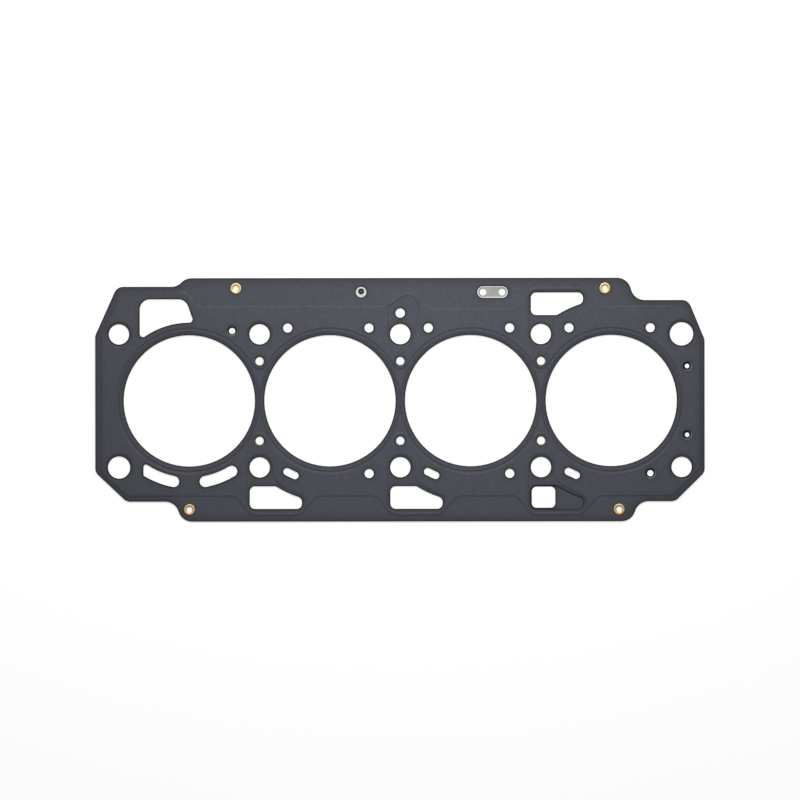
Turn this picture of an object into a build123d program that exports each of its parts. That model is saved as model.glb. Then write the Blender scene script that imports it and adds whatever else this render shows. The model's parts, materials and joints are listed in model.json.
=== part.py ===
from build123d import *
import math
import os

# Multi-layer steel cylinder head gasket for a four-cylinder engine, lying flat.
# All sizes are in millimetres.
# The origin is the centre of the bolt pattern, on the face that rests on the block.
# +X runs along the crankshaft, +Z points to the cylinder head.
# The stack, from the bottom up: a coated lower bead layer, a bare spacer layer, a bare
# stopper layer with a stopper ring at each bore, and a coated upper bead layer.
# The lower bead layer narrows the metered coolant holes and one of the oil drain ports.
# Four hollow rivets clamp the layers.

# Cylinders and head bolts
cylinder_count = 4
bore_diameter = 84.0
bridge_width = 6.0
bolt_row_offset = 0.6
bolt_hole_diameter = 13.0
dowel_hole_diameter = 14.2
wide_dowel_hole_diameter = 15.0

# Layers
coated_thickness = 0.25
stopper_thickness = 0.25
spacer_thickness = 0.45
stopper_ring_thickness = 0.1
stopper_ring_width = 2.2
stopper_ring_clearance = 0.01
coating_setback = 0.15
bridge_hole_setback = 0.25
bolt_hole_setback = 0.25

# Beads: the height and the plan width of a ramp, and the grooved bead round a bore
bead_height = 0.22
ramp_width = 1.0
bore_land_width = 2.75
groove_inner_ramp = 0.55
groove_floor_width = 0.8
bolt_land_width = 1.6

# Edges of the plan, measured outwards from the end bolt columns and the bolt rows
left_overhang = 15.2
right_overhang = 14.7
top_overhang = 35.9
bottom_overhang = 34.7
upper_left_shelf_overhang = 30.4
upper_right_shelf_overhang = 21.6
lower_shelf_overhang = 21.9

# Chamfers of the plan: each ends this far in from its end column, and out from its bolt row
lower_left_chamfer_x = 4.8
lower_left_chamfer_y = 3.1
lower_right_chamfer_x = 4.1
lower_right_chamfer_y = 3.3
upper_right_chamfer_x = -4.3
upper_right_chamfer_y = -3.5
upper_left_chamfer_x = -1.2
upper_left_chamfer_y = -0.9
chamfer_radius = 6.0

# Steps of the plan: each starts on its shelf, this far in from its end column
lower_left_step_x = 36.0
lower_right_step_x = 27.8
upper_right_step_x = 30.3
upper_left_step_x = 37.3
step_run = 4.2
upper_left_step_run = 5.5
step_radius = 9.0

# Outer bead: distances from the plan's edges to the middle of its ramp
left_margin = 3.8
right_margin = 2.5
shelf_margin = 3.5
long_edge_margin = 18.3
window_margin = 19.7
port_ridge_margin = 3.9
upper_port_ridge_margin = 6.3

# Outer bead: corners, measured in from an end column and out from a bolt row
bead_lower_left_x = 5.0
bead_lower_left_y = 3.6
bead_lower_right_x = 5.4
bead_lower_right_y = 0.6
bead_upper_right_x = -3.4
bead_upper_right_y = -3.8
bead_upper_left_x = 1.2
bead_upper_left_y = -1.1
bead_step_start = 43.2
bead_step_end = 50.5
bead_corner_radius = 6.0
bead_sweep_radius = 17.0

# Outer bead: the ridge round each port, measured from its bolt column
ridge_foot_left = 15.3
ridge_left = 5.9
ridge_right = 25.5
ridge_foot_right = 36.8
upper_ridge_foot_left = 16.0
upper_ridge_left = 6.6
upper_ridge_foot_right = 34.4
ridge_radius = 5.0
ridge_foot_radius = 7.0

# Outer bead: the ridge round the oil feed hole, measured from its bolt column and row
oil_ridge_foot_right = 20.5
oil_ridge_neck_x = 13.6
oil_ridge_neck_y = 19.7
oil_ridge_peak_x = 9.9
oil_ridge_peak_y = 31.0
oil_ridge_foot_left = 10.6
oil_ridge_neck_radius = 2.0
oil_ridge_peak_radius = 8.0

# Oil drain ports: a rounded box whose outer end follows the next bore
port_left = 6.4
port_right = 27.0
port_near = 12.1
port_far = 26.6
port_bore_gap = 22.8
port_corner = 3.8
square_port_left = 5.9
square_port_right = 9.1
square_port_near = 12.5
square_port_far = 26.0
square_port_corner = 3.0

# Low land that holds a bolt hole and the port outside it
port_land_margin = 1.6
lower_port_far_margin = 2.6
port_land_radius = 5.0
waist_margin = 1.7
lower_waist_near = 9.2
lower_waist_far = 19.0
lower_waist_radius = 13.5
upper_waist_near = 14.2
upper_waist_far = 20.8
upper_waist_radius = 3.0

# Low land that holds the middle upper bolt hole and the oil feed hole
oil_land_left = 8.0
oil_land_right = 6.6
oil_land_waist_x = 12.2
oil_land_waist_y = 16.9
oil_land_peak_x = 8.8
oil_land_peak_y = 29.0
oil_land_toe_y = 17.5
oil_land_radius = 7.0
oil_land_toe_radius = 2.0

# Oil feed hole beside the middle bolt column
oil_hole_diameter = 6.05
oil_hole_offset = 13.5

# Coolant openings
coolant_hole_diameter = 5.9
coolant_row_offset = 4.0
coolant_hole_left = 27.0
coolant_hole_right = 25.0
metering_hole_diameter = 3.95
metering_hole_x = 27.4
metering_row_offset = 2.1
bridge_hole_diameter = 5.1
bridge_hole_y = 25.5
end_hole_relief_diameter = 5.2
end_hole_diameter = 2.9
end_hole_x = 3.6
end_hole_y = 22.0
coolant_slot_width = 4.75
coolant_slot_pitch = 5.6
coolant_slot_tilt = -25.5
coolant_slot_x = 25.0
kidney_width = 7.1
kidney_bore_gap = 10.55
kidney_near_angle = 11.1
kidney_far_angle = 31.0
kidney_cut_x = 29.4
kidney_cut_corner = 1.6
water_port_left = 31.7
water_port_far = 22.45
water_port_bore_gap = 8.1
water_port_right = 2.3
water_port_side_tilt = 19.4
water_port_corner = 6.5
water_port_toe = 2.1

# Windows on the outer land that show the inner layers, and a round coined mark.
# The insets are measured from the top edge, the gaps from a bolt column.
window_length = 19.6
window_width = 7.55
window_column_gap = 30.9
window_inset = 9.05
window_ledge = 0.9
window_hole_diameter = 4.4
window_hole_pitch = 12.1
eye_diameter = 6.8
eye_hole_diameter = 3.7
eye_column_gap = 25.0
eye_inset = 9.0
eye_hole_rise = 0.4
mark_diameter = 7.4
mark_depth = 0.05
mark_column_gap = 40.3
mark_inset = 8.6

# Hollow rivets: the insets are measured from the top and the bottom edge
rivet_flange_diameter = 7.0
rivet_flange_thickness = 0.18
rivet_shank_diameter = 4.4
rivet_bore_diameter = 3.6
rivet_clearance = 0.05
rivet_flare = 0.25
upper_rivet_inset = 6.6
upper_left_rivet_gap = 15.2
upper_right_rivet_gap = 41.0
lower_rivet_inset = 7.7
lower_right_rivet_gap = 5.0

bore_radius = bore_diameter / 2
bore_pitch = bore_diameter + bridge_width
bolt_row = bore_radius + bolt_row_offset
groove_inner_radius = bore_radius + bore_land_width
groove_floor_start = groove_inner_radius + groove_inner_ramp
groove_floor_end = groove_floor_start + groove_floor_width
groove_outer_radius = groove_floor_end + ramp_width
last_bore = cylinder_count - 1
last_inner_column = cylinder_count - 1
oil_column = cylinder_count // 2


def column_x(index):
    """X of a bolt column, counted from the left."""
    return (index - cylinder_count / 2) * bore_pitch


def bore_x(index):
    """X of a cylinder, counted from the left."""
    return (index - (cylinder_count - 1) / 2) * bore_pitch


left_column = column_x(0)
right_column = column_x(cylinder_count)
left_edge = left_column - left_overhang
right_edge = right_column + right_overhang
top_edge = bolt_row + top_overhang
bottom_edge = -bolt_row - bottom_overhang
lower_shelf = -bolt_row - lower_shelf_overhang
upper_left_shelf = bolt_row + upper_left_shelf_overhang
upper_right_shelf = bolt_row + upper_right_shelf_overhang

# Heights of the layers' undersides above the block
lower_land_z = bead_height
spacer_z = lower_land_z + coated_thickness
stopper_z = spacer_z + spacer_thickness
upper_land_z = stopper_z + stopper_thickness


def turn(before, corner, after):
    """The unit directions into and out of a corner, and the turn between them."""
    into = (Vector(*corner) - Vector(*before)).normalized()
    out = (Vector(*after) - Vector(*corner)).normalized()
    angle = math.atan2(into.X * out.Y - into.Y * out.X, into.X * out.X + into.Y * out.Y)
    return into, out, angle


def grown(corners, distance):
    """Corners of a counter-clockwise loop whose sides are moved outwards."""
    least_radius = 0.2
    moved = []
    for index, (x, y, radius) in enumerate(corners):
        before = corners[index - 1][:2]
        after = corners[(index + 1) % len(corners)][:2]
        into, out, angle = turn(before, (x, y), after)
        along = distance * math.tan(angle / 2)
        new_x = x + distance * into.Y + along * into.X
        new_y = y - distance * into.X + along * into.Y
        new_radius = radius + math.copysign(distance, angle)
        moved.append((new_x, new_y, max(new_radius, least_radius)))
    return moved


def rounded_loop(corners, distance=0.0, height=0.0):
    """A face bounded by straight sides and tangent arcs, one arc for each corner."""
    straight_share = 0.98
    loop = grown(corners, distance)
    count = len(loop)
    turns = [turn(loop[i - 1][:2], loop[i][:2], loop[(i + 1) % count][:2]) for i in range(count)]
    reach = [corner[2] * math.tan(abs(turns[i][2]) / 2) for i, corner in enumerate(loop)]
    sides = [math.dist(loop[i][:2], loop[(i + 1) % count][:2]) for i in range(count)]
    arcs = []
    for index, (x, y, radius) in enumerate(loop):
        into, out, angle = turns[index]
        after = (index + 1) % count
        room_before = straight_share * sides[index - 1] / (reach[index] + reach[index - 1])
        room_after = straight_share * sides[index] / (reach[index] + reach[after])
        length = reach[index] * min(1.0, room_before, room_after)
        fitted = length / math.tan(abs(angle) / 2)
        corner = Vector(x, y, height)
        inward = (out - into).normalized()
        middle = corner + inward * fitted * (1 / math.cos(angle / 2) - 1)
        arcs.append((corner - into * length, middle, corner + out * length))
    edges = []
    for index, arc in enumerate(arcs):
        edges.append(ThreePointArc(*arc))
        edges.append(Line(arc[2], arcs[(index + 1) % count][0]))
    return Face(Wire(edges))


def mound(corners):
    """A solid of the bead's height, whose sides are ramps that rise inwards."""
    foot = rounded_loop(corners, ramp_width / 2)
    crest = rounded_loop(corners, -ramp_width / 2, bead_height)
    return loft([foot, crest], ruled=True)


def pit(corners):
    """A cutter of the bead's height, whose sides are ramps that rise outwards."""
    floor = rounded_loop(corners, -ramp_width / 2)
    mouth = rounded_loop(corners, ramp_width / 2, bead_height)
    return loft([floor, mouth], ruled=True)


def frustum(x, y, foot_radius, crest_radius, foot_height=0.0):
    """A round solid that reaches up to the bead's height."""
    align = (Align.CENTER, Align.CENTER, Align.MIN)
    rise = bead_height - foot_height
    return Pos(x, y, foot_height) * Cone(foot_radius, crest_radius, rise, align=align)


def outline_corners():
    """The plan of every layer, counter-clockwise from the lower left."""
    left = left_column
    right = right_column
    row = bolt_row
    lower_left_run = lower_left_step_x + step_run
    lower_right_run = lower_right_step_x + step_run
    upper_right_run = upper_right_step_x + step_run
    upper_left_run = upper_left_step_x + upper_left_step_run
    return [
        (left_edge, -row - lower_left_chamfer_y, chamfer_radius),
        (left + lower_left_chamfer_x, lower_shelf, chamfer_radius),
        (left + lower_left_step_x, lower_shelf, step_radius),
        (left + lower_left_run, bottom_edge, step_radius),
        (right - lower_right_run, bottom_edge, step_radius),
        (right - lower_right_step_x, lower_shelf, step_radius),
        (right - lower_right_chamfer_x, lower_shelf, chamfer_radius),
        (right_edge, -row - lower_right_chamfer_y, chamfer_radius),
        (right_edge, row + upper_right_chamfer_y, chamfer_radius),
        (right - upper_right_chamfer_x, upper_right_shelf, chamfer_radius),
        (right - upper_right_step_x, upper_right_shelf, step_radius),
        (right - upper_right_run, top_edge, step_radius),
        (left + upper_left_run, top_edge, step_radius),
        (left + upper_left_step_x, upper_left_shelf, step_radius),
        (left + upper_left_chamfer_x, upper_left_shelf, chamfer_radius),
        (left_edge, row + upper_left_chamfer_y, chamfer_radius),
    ]


def lower_bead_corners():
    """The outer bead along the lower edge, with a ridge round each lower port."""
    shelf_line = lower_shelf + shelf_margin
    ridge_line = bottom_edge + port_ridge_margin
    left_line = left_edge + left_margin
    right_line = right_edge - right_margin
    corners = [
        (left_line, -bolt_row - bead_lower_left_y, bead_corner_radius),
        (left_column + bead_lower_left_x, shelf_line, bead_corner_radius),
    ]
    for index in range(1, cylinder_count):
        x = column_x(index)
        corners += [
            (x - ridge_foot_left, shelf_line, ridge_foot_radius),
            (x - ridge_left, ridge_line, ridge_radius),
            (x + ridge_right, ridge_line, ridge_radius),
            (x + ridge_foot_right, shelf_line, ridge_foot_radius),
        ]
    corners += [
        (right_column - bead_lower_right_x, shelf_line, bead_corner_radius),
        (right_line, -bolt_row - bead_lower_right_y, bead_corner_radius),
    ]
    return corners


def upper_bead_corners():
    """The outer bead along the upper edge, round the upper port and the oil feed hole."""
    long_line = top_edge - long_edge_margin
    window_line = top_edge - window_margin
    ridge_line = top_edge - upper_port_ridge_margin
    shelf_line = upper_left_shelf - shelf_margin
    port_x = column_x(last_inner_column)
    oil_x = column_x(oil_column)
    right_line = right_edge - right_margin
    left_line = left_edge + left_margin
    return [
        (right_line, bolt_row + bead_upper_right_y, bead_corner_radius),
        (right_column - bead_upper_right_x, long_line, bead_sweep_radius),
        (port_x + upper_ridge_foot_right, long_line, ridge_foot_radius),
        (port_x + ridge_right, ridge_line, ridge_radius),
        (port_x - upper_ridge_left, ridge_line, ridge_radius),
        (port_x - upper_ridge_foot_left, window_line, ridge_foot_radius),
        (oil_x + oil_ridge_foot_right, window_line, ridge_foot_radius),
        (oil_x + oil_ridge_neck_x, bolt_row + oil_ridge_neck_y, oil_ridge_neck_radius),
        (oil_x + oil_ridge_peak_x, bolt_row + oil_ridge_peak_y, oil_ridge_peak_radius),
        (oil_x - oil_ridge_foot_left, long_line, ridge_radius),
        (left_column + bead_step_end, long_line, ridge_foot_radius),
        (left_column + bead_step_start, shelf_line, ridge_foot_radius),
        (left_column + bead_upper_left_x, shelf_line, bead_corner_radius),
        (left_line, bolt_row + bead_upper_left_y, bead_corner_radius),
    ]


def port_land_corners(index, side, far_margin, waist_near, waist_far):
    """The low land round a bolt hole and the port outside it, counter-clockwise.

    Each waist is a corner beside the port's slope: its distance from the row, and its radius.
    """
    x = column_x(index)
    land = bolt_hole_diameter / 2 + bolt_land_width
    waist = bolt_hole_diameter / 2 + waist_margin
    left = x - port_left - port_land_margin
    right = x + port_right + port_land_margin
    near = bolt_row - land
    far = bolt_row + port_far + far_margin
    corners = [
        (left, far, port_land_radius),
        (right, far, port_land_radius),
        (right, bolt_row + waist_far[0], waist_far[1]),
        (x + waist, bolt_row + waist_near[0], waist_near[1]),
        (x + waist, near, land),
        (left, near, land),
    ]
    if side > 0:
        corners.reverse()
    return [(corner_x, side * y, radius) for corner_x, y, radius in corners]


def oil_land_corners():
    """The low land round the middle upper bolt hole and the oil feed hole."""
    x = column_x(oil_column)
    land = bolt_hole_diameter / 2 + bolt_land_width
    return [
        (x - oil_land_left, bolt_row - land, land),
        (x + oil_land_right, bolt_row - land, land),
        (x + oil_land_waist_x, bolt_row + oil_land_waist_y, oil_land_radius),
        (x + oil_land_peak_x, bolt_row + oil_land_peak_y, oil_land_radius),
        (x - oil_land_left, bolt_row + oil_land_toe_y, oil_land_toe_radius),
    ]


def bolt_places():
    """Column and side of each head bolt."""
    return [(index, side) for index in range(cylinder_count + 1) for side in (-1, 1)]


def bolt_hole_size(index, side):
    """Diameter of a head bolt hole: two of them locate on dowels."""
    if (index, side) == (0, -1):
        return dowel_hole_diameter
    if (index, side) == (cylinder_count, 1):
        return wide_dowel_hole_diameter
    return bolt_hole_diameter


def bolt_holes(setback):
    """The head bolt holes, wider by a setback all round."""
    holes = []
    for index, side in bolt_places():
        size = bolt_hole_size(index, side) + 2 * setback
        holes.append(hole(column_x(index), side * bolt_row, size))
    return holes


def shares_port_land(index, side):
    """Whether a bolt hole lies in the low land of a port or of the oil feed hole."""
    if side < 0:
        return 0 < index < cylinder_count
    return index in (oil_column, last_inner_column)


def bridge_holes():
    """Centres of the small holes between neighbouring bores."""
    columns = range(1, cylinder_count)
    return [(column_x(index), side * bridge_hole_y) for index in columns for side in (-1, 1)]


def bore_circle(index, radius):
    """A round face about a bore."""
    return Pos(bore_x(index), 0) * Circle(radius)


def bridge_rhombus(x):
    """The space between two bores, as far as their bridge holes."""
    half = bore_pitch / 2
    points = [(x - half, 0), (x, -bridge_hole_y), (x + half, 0), (x, bridge_hole_y)]
    return extrude(Polygon(*points, align=None), bead_height)


def relief():
    """The raised parts of a coated layer, as a solid that stands on its land."""
    body = mound(lower_bead_corners() + upper_bead_corners())
    near = (lower_waist_near, lower_waist_radius)
    far = (lower_waist_far, port_land_radius)
    for index in range(1, cylinder_count):
        body -= pit(port_land_corners(index, -1, lower_port_far_margin, near, far))
    near = (upper_waist_near, upper_waist_radius)
    far = (upper_waist_far, upper_waist_radius)
    body -= pit(port_land_corners(last_inner_column, 1, port_land_margin, near, far))
    body -= pit(oil_land_corners())
    for index, side in bolt_places():
        if not shares_port_land(index, side):
            land = bolt_hole_size(index, side) / 2 + bolt_land_width
            half = ramp_width / 2
            body -= frustum(column_x(index), side * bolt_row, land - half, land + half)
    for index in range(cylinder_count):
        body -= frustum(bore_x(index), 0, groove_floor_end, groove_outer_radius)
    hump = math.dist((bore_pitch / 2, 0), (0, bridge_hole_y)) - groove_outer_radius
    for index in range(1, cylinder_count):
        between = bridge_rhombus(column_x(index))
        body -= between
        for side in (-1, 1):
            y = side * bridge_hole_y
            body += frustum(column_x(index), y, hump + ramp_width, hump) & between
    bore_edge = stopper_ring_thickness + stopper_ring_clearance
    for index in range(cylinder_count):
        body += frustum(bore_x(index), 0, groove_floor_start, groove_inner_radius)
        body -= frustum(bore_x(index), 0, bore_radius, groove_inner_radius, bore_edge)
    return body


def softened(face, radius):
    """Round every corner of a face, within what its sides leave room for."""
    shortest = min(edge.length for edge in face.edges())
    return fillet(face.vertices(), min(radius, 0.49 * shortest))


def box_face(left, right, low, high):
    """A plain rectangle between four limits."""
    return Pos((left + right) / 2, (low + high) / 2) * Rectangle(right - left, high - low)


def drain_port(index, side, setback):
    """A drain port beside a bolt column; its sloping side is concentric with a bore."""
    x = column_x(index)
    near = side * (bolt_row + port_near - setback)
    far = side * (bolt_row + port_far + setback)
    left = x - port_left - setback
    right = x + port_right + setback
    face = box_face(left, right, min(near, far), max(near, far))
    face -= Pos(x + bore_pitch / 2, 0) * Circle(bore_radius + port_bore_gap - setback)
    return softened(face, port_corner + setback)


def square_port():
    """What the lower bead layer leaves open of the drain port at the lower right."""
    x = column_x(last_inner_column)
    low = -bolt_row - square_port_far
    high = -bolt_row - square_port_near
    face = box_face(x - square_port_left, x + square_port_right, low, high)
    return softened(face, square_port_corner)


def water_port(setback):
    """The large coolant port above the first cylinder, following its bore."""
    x = bore_x(0)
    far = bolt_row + water_port_far + setback
    near = bore_radius / 2
    left = x - water_port_left - setback
    right = x - water_port_right + setback
    lean = (far - near) * math.tan(math.radians(water_port_side_tilt))
    face = Polygon((left, near), (right + lean, near), (right, far), (left, far), align=None)
    face -= bore_circle(0, bore_radius + water_port_bore_gap - setback)
    by_height = face.vertices().sort_by(Axis.Y)
    face = fillet(by_height[-2:], water_port_corner + setback)
    toes = [corner for corner in face.vertices() if corner.Y < far - water_port_far / 2]
    return fillet(toes, water_port_toe + setback)


def arc_slot(x, radius, width, start, end):
    """A slot of even width that follows a circle about (x, 0), with round ends."""
    centre = Vector(x, 0)

    def cap(angle, first):
        heading = math.radians(angle)
        middle = centre + Vector(math.cos(heading), math.sin(heading)) * radius
        return CenterArc(middle, width / 2, first, 180)

    edges = [
        CenterArc(centre, radius + width / 2, start, end - start),
        cap(end, end),
        CenterArc(centre, radius - width / 2, start, end - start),
        cap(start, start + 180),
    ]
    return Face(Wire(edges))


def kidney_slots(setback):
    """The two curved coolant slots below the first cylinder."""
    x = bore_x(0)
    down = 270
    cut_allowance = 12
    radius = bore_radius + kidney_bore_gap
    width = kidney_width + 2 * setback
    right = arc_slot(x, radius, width, down + kidney_near_angle, down + kidney_far_angle)
    left_end = down - kidney_far_angle - cut_allowance
    left = arc_slot(x, radius, width, left_end, down - kidney_near_angle)
    left = left & box_face(x - kidney_cut_x - setback, x, -2 * radius, 0)
    ends = left.vertices().sort_by(Axis.X)[:2]
    return [right, fillet(ends, kidney_cut_corner + setback)]


def coolant_slot(index, setback):
    """The slanted slot at the lower left of a cylinder."""
    place = Pos(bore_x(index) - coolant_slot_x, -bolt_row - coolant_row_offset)
    slot = SlotCenterToCenter(coolant_slot_pitch, coolant_slot_width + 2 * setback)
    return place * Rot(0, 0, coolant_slot_tilt) * slot


def hole(x, y, diameter):
    """A round face."""
    return Pos(x, y) * Circle(diameter / 2)


def coolant_holes(setback):
    """The full-size round coolant holes, two above each cylinder and one below."""
    row = bolt_row + coolant_row_offset
    size = coolant_hole_diameter + 2 * setback
    holes = []
    for index in range(1, cylinder_count):
        holes.append(hole(bore_x(index) - coolant_hole_left, row, size))
        holes.append(hole(bore_x(index) + coolant_hole_right, row, size))
        if index < last_bore:
            holes.append(hole(bore_x(index) + coolant_hole_right, -row, size))
    return holes


def stepped_holes(large, small):
    """The metered coolant holes, at one size for the two large and one for the two small."""
    end = right_column + end_hole_x
    lower_row = -bolt_row - coolant_row_offset
    return [
        hole(bore_x(0) + metering_hole_x, bolt_row + metering_row_offset, large),
        hole(bore_x(last_bore) + coolant_hole_right, lower_row, large),
        hole(end, end_hole_y, small),
        hole(end, -end_hole_y, small),
    ]


def rivet_places():
    """Centres of the hollow rivets, all on the low outer land."""
    upper = top_edge - upper_rivet_inset
    lower = bottom_edge + lower_rivet_inset
    return [
        (column_x(1) - upper_left_rivet_gap, upper),
        (column_x(last_inner_column) + upper_right_rivet_gap, upper),
        (bore_x(0), lower),
        (bore_x(last_bore) + lower_right_rivet_gap, lower),
    ]


def common_openings(setback):
    """The bores, and the oil and coolant openings of all layers, wider by a setback."""
    faces = [bore_circle(index, bore_radius) for index in range(cylinder_count)]
    faces += coolant_holes(setback)
    faces += [coolant_slot(index, setback) for index in range(1, cylinder_count)]
    faces += kidney_slots(setback)
    faces.append(water_port(setback))
    oil_size = oil_hole_diameter + 2 * setback
    faces.append(hole(column_x(oil_column), bolt_row + oil_hole_offset, oil_size))
    faces += [drain_port(index, -1, setback) for index in range(1, last_inner_column)]
    faces.append(drain_port(last_inner_column, 1, setback))
    rivet_hole = rivet_shank_diameter + 2 * rivet_clearance
    faces += [hole(x, y, rivet_hole) for x, y in rivet_places()]
    return faces


def window(ledge):
    """The stadium window on the outer land, smaller by a ledge all round."""
    x = column_x(last_inner_column) - window_column_gap
    slot = SlotOverall(window_length - 2 * ledge, window_width - 2 * ledge)
    return Pos(x, top_edge - window_inset) * slot


def window_holes(setback):
    """The two small holes in the floor of the stadium window."""
    x = column_x(last_inner_column) - window_column_gap
    y = top_edge - window_inset
    half = window_hole_pitch / 2
    size = window_hole_diameter + 2 * setback
    return [hole(x - half, y, size), hole(x + half, y, size)]


def eye():
    """The round window on the outer land."""
    return hole(column_x(oil_column) - eye_column_gap, top_edge - eye_inset, eye_diameter)


def eye_hole():
    """The hole in the floor of the round window, which shows the lower layer."""
    y = top_edge - eye_inset + eye_hole_rise
    return hole(column_x(oil_column) - eye_column_gap, y, eye_hole_diameter)


def coated_openings(large, small):
    """Openings of a coated layer, which stand back from the bare layers' edges."""
    wide = bridge_hole_diameter + 2 * bridge_hole_setback
    faces = common_openings(coating_setback) + bolt_holes(bolt_hole_setback)
    faces += [hole(x, y, wide) for x, y in bridge_holes()]
    faces += stepped_holes(large, small)
    return faces


def bare_openings():
    """Openings that the two bare layers share."""
    shrink = 2 * coating_setback
    faces = common_openings(0) + bolt_holes(0)
    faces += [hole(x, y, bridge_hole_diameter) for x, y in bridge_holes()]
    faces += stepped_holes(coolant_hole_diameter - shrink, end_hole_relief_diameter - shrink)
    faces.append(drain_port(last_inner_column, -1, 0))
    faces.append(eye_hole())
    return faces


def pierced(sheet, faces, height):
    """A sheet with its openings cut straight through."""
    up = (0, 0, 1)
    return sheet - [Pos(0, 0, -height) * extrude(face, 3 * height, dir=up) for face in faces]


def flat_layer(thickness, openings):
    """A flat sheet with its openings."""
    return pierced(extrude(rounded_loop(outline_corners()), thickness), openings, thickness)


def beaded_sheet():
    """A coated sheet of even thickness, pressed to the relief, before it is pierced."""
    raised = relief()
    sheet = extrude(rounded_loop(outline_corners()), coated_thickness)
    sheet += Pos(0, 0, coated_thickness) * raised
    return sheet - raised


def upper_bead_layer(sheet):
    """The coated layer against the head, with both windows and the coined mark."""
    openings = coated_openings(coolant_hole_diameter, end_hole_relief_diameter)
    openings += [drain_port(last_inner_column, -1, coating_setback), window(0), eye()]
    layer = pierced(sheet, openings, coated_thickness + bead_height)
    x = column_x(oil_column) - mark_column_gap
    mark = hole(x, top_edge - mark_inset, mark_diameter)
    layer -= Pos(0, 0, coated_thickness - mark_depth) * extrude(mark, mark_depth)
    return Pos(0, 0, upper_land_z) * layer


def stopper_layer():
    """The bare layer whose window leaves a ledge over the spacer layer."""
    layer = flat_layer(stopper_thickness, bare_openings() + [window(window_ledge)])
    return Pos(0, 0, stopper_z) * layer


def spacer_layer():
    """The bare layer that sets the gasket's thickness."""
    layer = flat_layer(spacer_thickness, bare_openings() + window_holes(0))
    return Pos(0, 0, spacer_z) * layer


def lower_bead_layer(sheet):
    """The coated layer against the block, pressed the other way, with the smallest holes."""
    openings = coated_openings(metering_hole_diameter, end_hole_diameter)
    openings += [square_port()] + window_holes(coating_setback)
    layer = pierced(sheet, openings, coated_thickness + bead_height)
    return Pos(0, 0, spacer_z) * mirror(layer, Plane.XY)


def stopper_ring(index):
    """The ring that limits how far the beads at a bore are pressed flat."""
    ring = bore_circle(index, bore_radius + stopper_ring_width) - bore_circle(index, bore_radius)
    return Pos(0, 0, upper_land_z) * extrude(ring, stopper_ring_thickness)


def rivet(x, y):
    """A hollow rivet whose flared flanges clamp the four layers on their lands."""
    low = lower_land_z
    high = upper_land_z + coated_thickness
    shank = rivet_shank_diameter / 2
    bore = rivet_bore_diameter / 2
    flange = rivet_flange_diameter / 2
    lip = rivet_flange_thickness
    flare = rivet_flare
    profile = Polyline(
        (bore, low - lip + flare), (bore + flare, low - lip), (flange, low - lip), (flange, low),
        (shank, low), (shank, high), (flange, high), (flange, high + lip),
        (bore + flare, high + lip), (bore, high + lip - flare), (bore, low - lip + flare),
    )
    section = Plane.XZ * make_face(profile)
    return Pos(x, y, 0) * revolve(section, Axis.Z)


def write(name, solid):
    """Write one piece to its own file."""
    solid.label = name
    export_step(solid, os.path.join("parts", name + ".step"))


def main():
    os.makedirs("parts", exist_ok=True)
    pressed = beaded_sheet()
    write("upper_bead_layer", upper_bead_layer(pressed))
    write("stopper_layer", stopper_layer())
    write("spacer_layer", spacer_layer())
    write("lower_bead_layer", lower_bead_layer(pressed))
    for index in range(cylinder_count):
        write(f"stopper_ring_{index + 1}", stopper_ring(index))
    for index, (x, y) in enumerate(rivet_places()):
        write(f"rivet_{index + 1}", rivet(x, y))


if __name__ == "__main__":
    main()
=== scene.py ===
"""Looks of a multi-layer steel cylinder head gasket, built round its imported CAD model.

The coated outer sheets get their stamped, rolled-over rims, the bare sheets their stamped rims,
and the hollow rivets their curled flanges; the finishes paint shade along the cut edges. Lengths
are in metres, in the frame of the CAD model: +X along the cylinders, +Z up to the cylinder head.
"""

from __future__ import annotations

import json
import logging
import math
from dataclasses import dataclass
from enum import Enum

import bmesh
import bpy
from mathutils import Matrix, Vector, kdtree

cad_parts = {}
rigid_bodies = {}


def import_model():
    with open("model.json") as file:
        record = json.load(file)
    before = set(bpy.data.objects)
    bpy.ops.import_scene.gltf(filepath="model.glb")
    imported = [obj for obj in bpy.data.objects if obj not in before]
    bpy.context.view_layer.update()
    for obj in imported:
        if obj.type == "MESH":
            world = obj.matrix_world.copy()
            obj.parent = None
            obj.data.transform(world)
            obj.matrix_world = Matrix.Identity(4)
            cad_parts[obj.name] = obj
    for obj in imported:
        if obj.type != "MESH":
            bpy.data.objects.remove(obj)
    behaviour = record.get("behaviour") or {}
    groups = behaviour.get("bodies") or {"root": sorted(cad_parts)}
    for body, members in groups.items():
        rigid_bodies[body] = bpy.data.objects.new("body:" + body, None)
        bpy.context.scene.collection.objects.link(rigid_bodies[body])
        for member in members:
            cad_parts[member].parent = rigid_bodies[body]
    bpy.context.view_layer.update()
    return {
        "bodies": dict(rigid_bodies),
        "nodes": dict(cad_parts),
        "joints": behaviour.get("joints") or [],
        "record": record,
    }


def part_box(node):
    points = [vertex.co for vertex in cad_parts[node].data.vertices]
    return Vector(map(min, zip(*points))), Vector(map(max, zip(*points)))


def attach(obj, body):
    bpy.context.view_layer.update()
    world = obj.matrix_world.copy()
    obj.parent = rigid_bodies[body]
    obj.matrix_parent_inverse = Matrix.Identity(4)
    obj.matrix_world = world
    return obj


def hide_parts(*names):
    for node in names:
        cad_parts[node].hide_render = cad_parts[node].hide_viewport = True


MM = 0.001
BODY = "root"
RINGS = tuple(f"stopper_ring_{number}" for number in range(1, 5))
RIVETS = tuple(f"rivet_{number}" for number in range(1, 5))

# Vertex attributes of the sheets, and how far from an edge each nearness reaches
CUT_EDGE = "cut_edge"
NEARNESS = "edge_nearness"
REACH = 4.0 * MM
OUTLINE_NEARNESS = "outline_nearness"
OUTLINE_REACH = 7.0 * MM
EDGE_FULL = 0.7

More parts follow.
